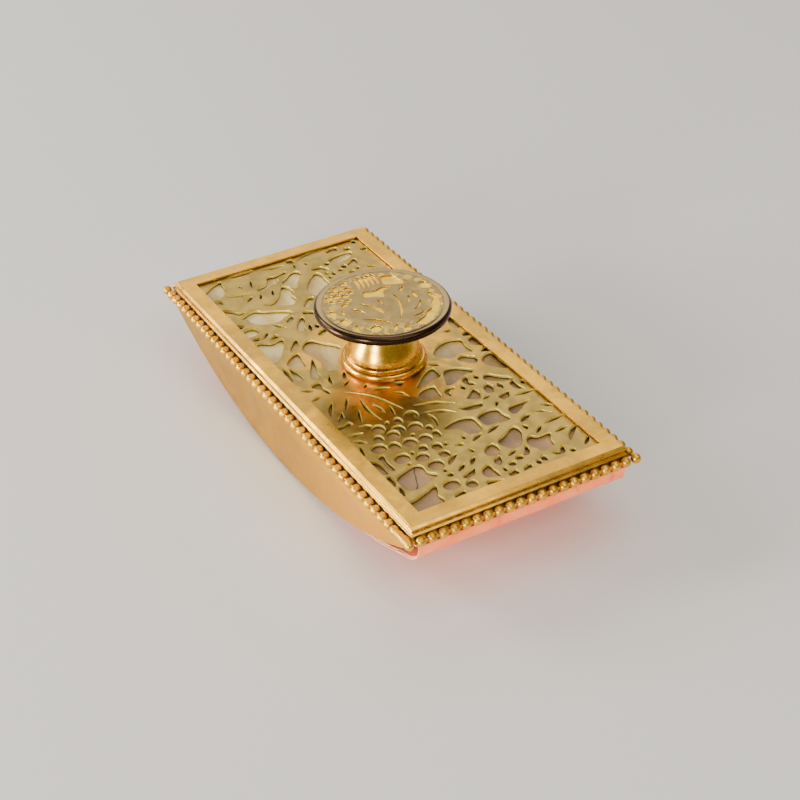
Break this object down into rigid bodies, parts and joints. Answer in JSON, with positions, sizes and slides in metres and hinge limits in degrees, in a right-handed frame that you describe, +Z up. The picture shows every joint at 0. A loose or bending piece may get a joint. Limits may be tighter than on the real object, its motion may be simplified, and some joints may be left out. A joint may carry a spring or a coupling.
{
  "type": "rocker blotter",
  "caption": "Desk rocker blotter: curved paper-carrying rocker, framed cover with a pierced vine panel over glass, beaded edges and a round screw-down knob.",
  "frame": {"origin": "on the table under the middle of the knob, at the lowest line of the curved bottom", "axes": "+X along the length towards the end where the paper stands loose, +Y across the width, +Z up through the knob"},
  "size_m": [0.1426, 0.0702, 0.0424],
  "materials": {
    "gilt_frame": "worn satin gilding, warm gold with rubbed edges",
    "gilt_beads": "gilded beads, bright on top with dark patina between them",
    "pierced_brass": "satin greenish-tan patina with bright cut edges",
    "satin_brass": "satin, faint streaks and spots",
    "hidden_brass": "dull unpolished brass",
    "polished_brass": "highly polished, orange gold",
    "dark_bronze": "dark brown glossy patina",
    "etched_bronze": "raised brown leaf relief on a matt gold ground",
    "slag_glass": "opaque cream and pinkish grey streaked glass",
    "blotting_paper": "matt pink fibrous blotting paper",
    "washer_leather": "thin dark leather washer"
  },
  "bodies": {
    "rocker": {"rocker_bottom": "hidden_brass", "cheek_left": "satin_brass", "cheek_right": "satin_brass", "cross_bridge": "hidden_brass", "threaded_boss": "hidden_brass", "blotting_paper": "blotting_paper"},
    "cover": {"cover_frame": "gilt_frame", "pierced_panel": "pierced_brass", "glass_panel": "slag_glass", "backing_plate": "hidden_brass", "spacer_sleeve": "hidden_brass", "retaining_tab_1": "hidden_brass", "retaining_tab_2": "hidden_brass", "retaining_tab_3": "hidden_brass", "retaining_tab_4": "hidden_brass", "retaining_tab_5": "hidden_brass", "retaining_tab_6": "hidden_brass", "bead_strip_left": "gilt_beads", "bead_strip_right": "gilt_beads", "bead_strip_near": "gilt_beads", "bead_strip_far": "gilt_beads"},
    "washer": {"knob_washer": "washer_leather"},
    "knob": {"knob_cap": "dark_bronze", "knob_medallion": "etched_bronze", "knob_column": "polished_brass", "knob_base_ring": "polished_brass", "knob_stud": "hidden_brass"}
  },
  "joints": [
    {"name": "cover_lift", "type": "slide", "parent": "rocker", "child": "cover", "axis": [0, 0, 1], "range_m": [0, 0.025]},
    {"name": "knob_rise", "type": "slide", "parent": "cover", "child": "washer", "axis": [0, 0, 1], "range_m": [0, 0.0064]},
    {"name": "knob_turn", "type": "hinge", "parent": "washer", "child": "knob", "pos_m": [0, 0, 0.036], "axis": [0, 0, 1], "range_deg": [0, 2520]}
  ],
  "couplings": [
    {"joint": "knob_rise", "follows": "knob_turn", "m_per_rad": 0.00014324}
  ]
}
